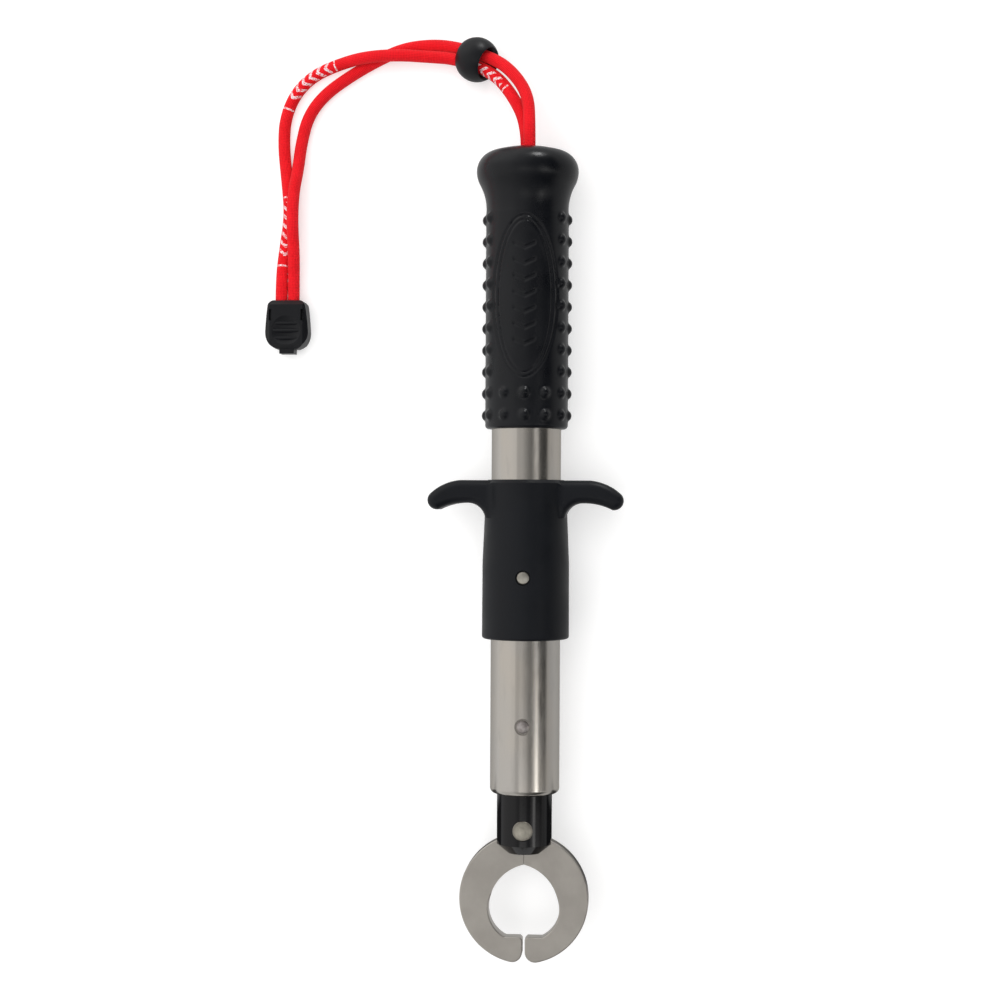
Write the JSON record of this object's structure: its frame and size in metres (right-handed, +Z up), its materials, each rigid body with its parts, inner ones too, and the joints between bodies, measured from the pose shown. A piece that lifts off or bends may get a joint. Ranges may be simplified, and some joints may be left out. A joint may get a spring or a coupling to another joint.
{
  "type": "lip grip",
  "caption": "Fish lip grip: a steel tube with a sliding winged trigger that opens two curved jaws, a studded rubber grip and a red wrist lanyard.",
  "frame": {"origin": "on the surface the tool lies on, under the middle of the tool's own box, lanyard left out", "axes": "+Y along the tool from the jaws to the grip, +X towards the right wing, +Z up, square to the flat of the jaws"},
  "size_m": [0.1169, 0.2959, 0.0323],
  "materials": {
    "tube_steel": "finely brushed stainless tube",
    "jaw_steel": "satin tumbled stainless plate",
    "pin_steel": "ground flush pin ends",
    "black_housing": "gloss black anodised",
    "trigger_plastic": "fine matte moulded",
    "grip_rubber": "matte moulded rubber with raised nubs",
    "red_cord": "tightly woven tubular cord",
    "cord_plastic": "matte moulded",
    "inner_steel": "machined",
    "inner_plastic": "machined nylon"
  },
  "bodies": {
    "body": {"body_tube": "tube_steel", "jaw_housing": "black_housing", "body_pin": "pin_steel", "jaw_pivot_pin": "pin_steel", "jaw_spacer": "inner_steel", "spring_stop": "inner_steel", "stop_pin": "inner_steel", "grip": "grip_rubber", "end_plug": "inner_plastic", "lanyard_pin": "inner_steel", "lanyard_bight": "red_cord", "lanyard_plain_strand": "red_cord", "lanyard_printed_strand": "red_cord", "cord_end_front": "cord_plastic", "cord_end_back": "cord_plastic"},
    "trigger": {"trigger_sleeve": "trigger_plastic", "trigger_pin": "pin_steel", "pull_rod": "inner_steel", "rod_collar": "inner_plastic", "cam_pin": "inner_steel", "spring_washer": "inner_steel", "return_spring": "inner_steel"},
    "left_jaw": {"left_jaw": "jaw_steel"},
    "right_jaw": {"right_jaw": "jaw_steel"},
    "bead": {"cord_bead": "cord_plastic"}
  },
  "joints": [
    {"name": "trigger_slide", "type": "slide", "parent": "body", "child": "trigger", "axis": [0, 1, 0], "range_m": [0, 0.01], "stiffness_N_per_m": 900, "springref_m": -0.012, "deforming": ["return_spring"]},
    {"name": "left_jaw_pivot", "type": "hinge", "parent": "body", "child": "left_jaw", "pos_m": [0, -0.0862, 0.01615], "axis": [0, 0, 1], "range_deg": [-22, 0]},
    {"name": "right_jaw_pivot", "type": "hinge", "parent": "body", "child": "right_jaw", "pos_m": [0, -0.0862, 0.01615], "axis": [0, 0, 1], "range_deg": [0, 22]},
    {"name": "bead_slide", "type": "slide", "parent": "body", "child": "bead", "axis": [0.8246, -0.3758, 0.4228], "range_m": [-0.002, 0.002]}
  ],
  "couplings": [
    {"joint": "left_jaw_pivot", "follows": "trigger_slide", "rad_per_m": -38.397},
    {"joint": "right_jaw_pivot", "follows": "trigger_slide", "rad_per_m": 38.397}
  ]
}
